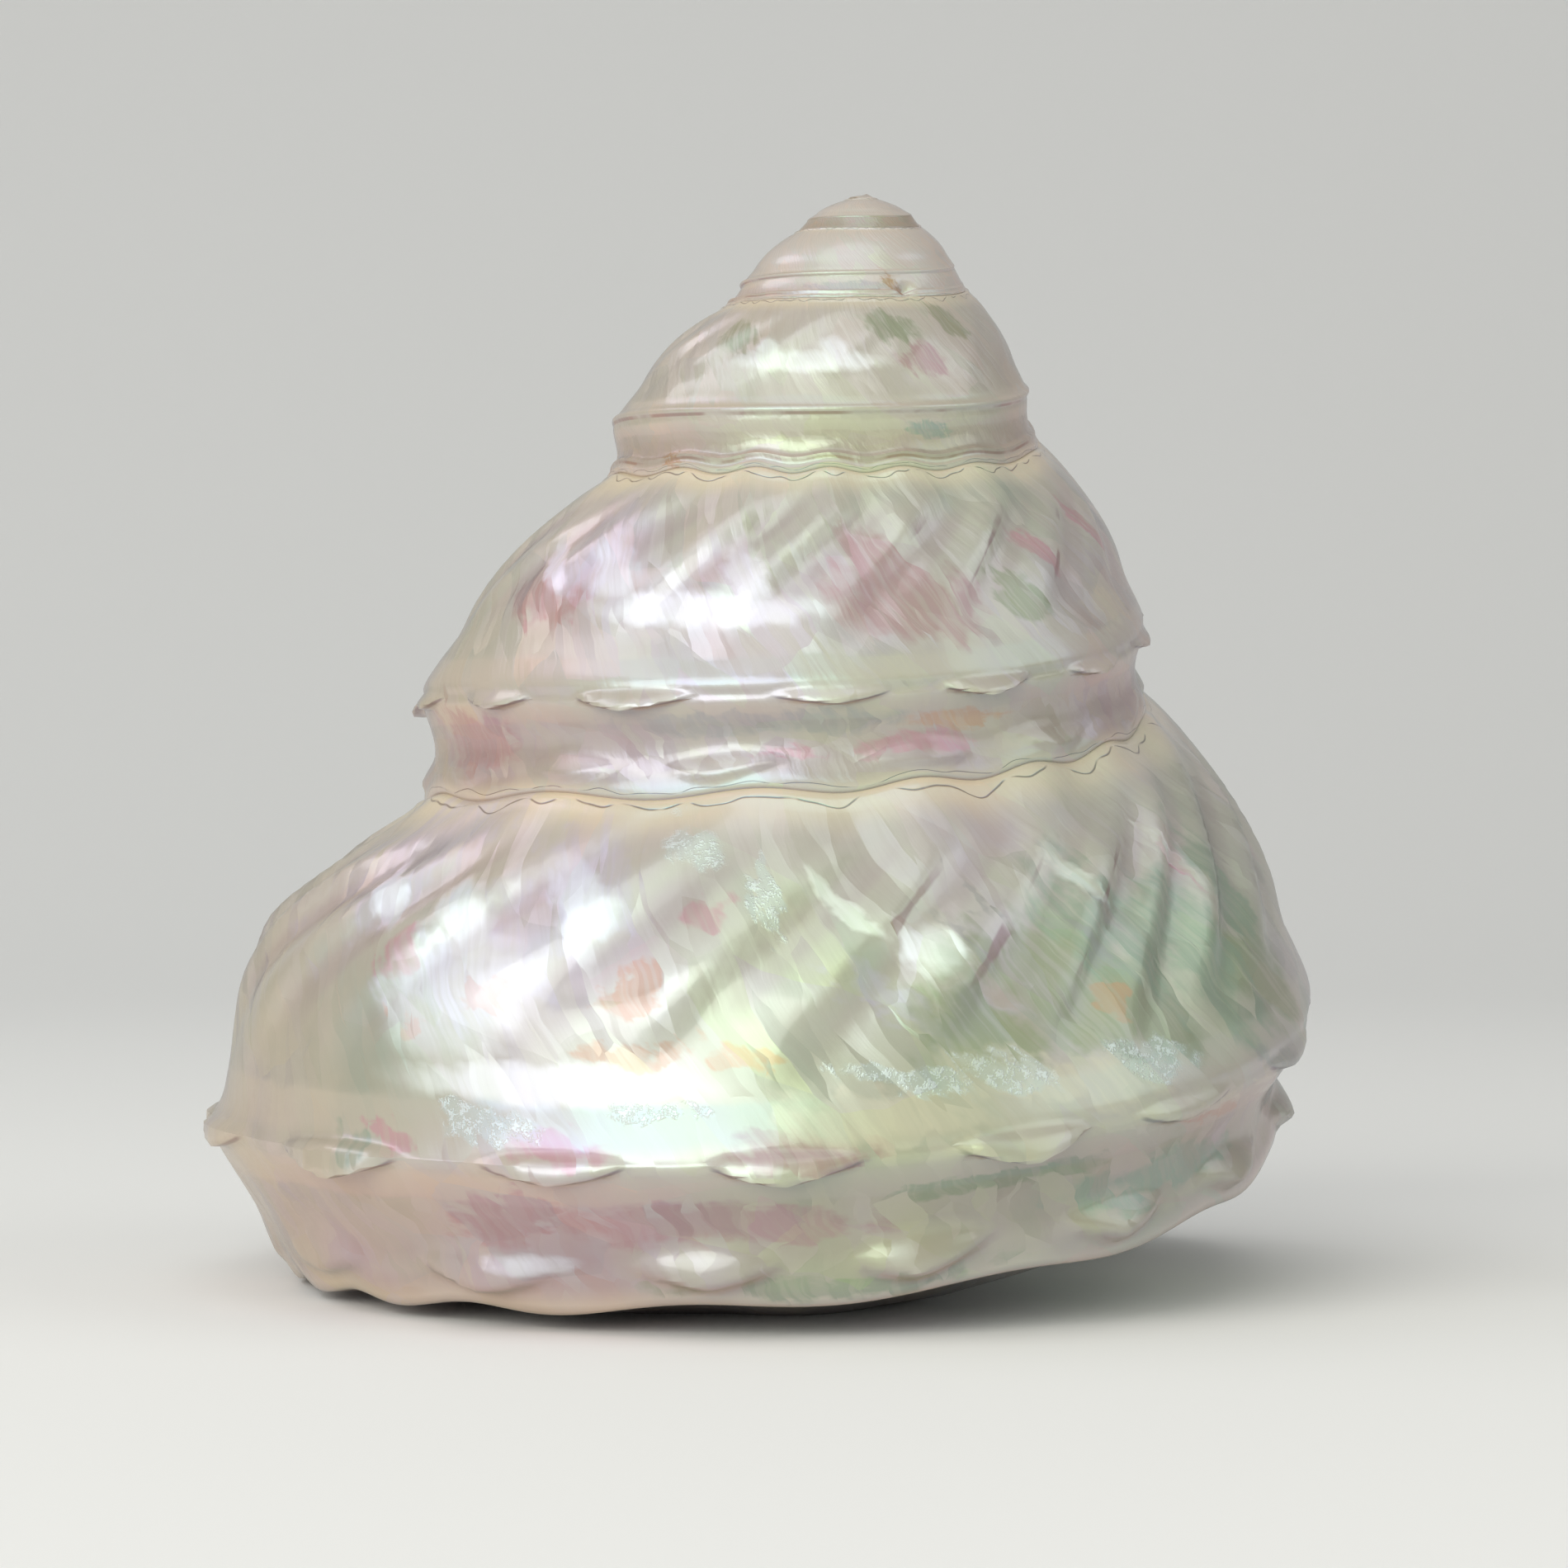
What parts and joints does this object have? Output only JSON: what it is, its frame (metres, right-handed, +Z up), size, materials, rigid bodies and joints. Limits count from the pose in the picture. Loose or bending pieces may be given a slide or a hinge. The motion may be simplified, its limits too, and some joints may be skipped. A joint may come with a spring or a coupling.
{
  "type": "polished top shell",
  "caption": "Large right-handed spiral top shell, polished to mother-of-pearl, with keeled turns, low knobs and an open aperture underneath.",
  "frame": {"origin": "middle of the outline seen from above, on the surface that the shell rests on", "axes": "+Z up, -Y towards the viewer of the side that shows in the picture, +X to that viewer's right"},
  "size_m": [0.1127, 0.1184, 0.1091],
  "materials": {
    "nacre": "polished mother-of-pearl, pearly ivory with pink, lilac and green"
  },
  "bodies": {
    "root": {"shell": "nacre"}
  },
  "joints": []
}
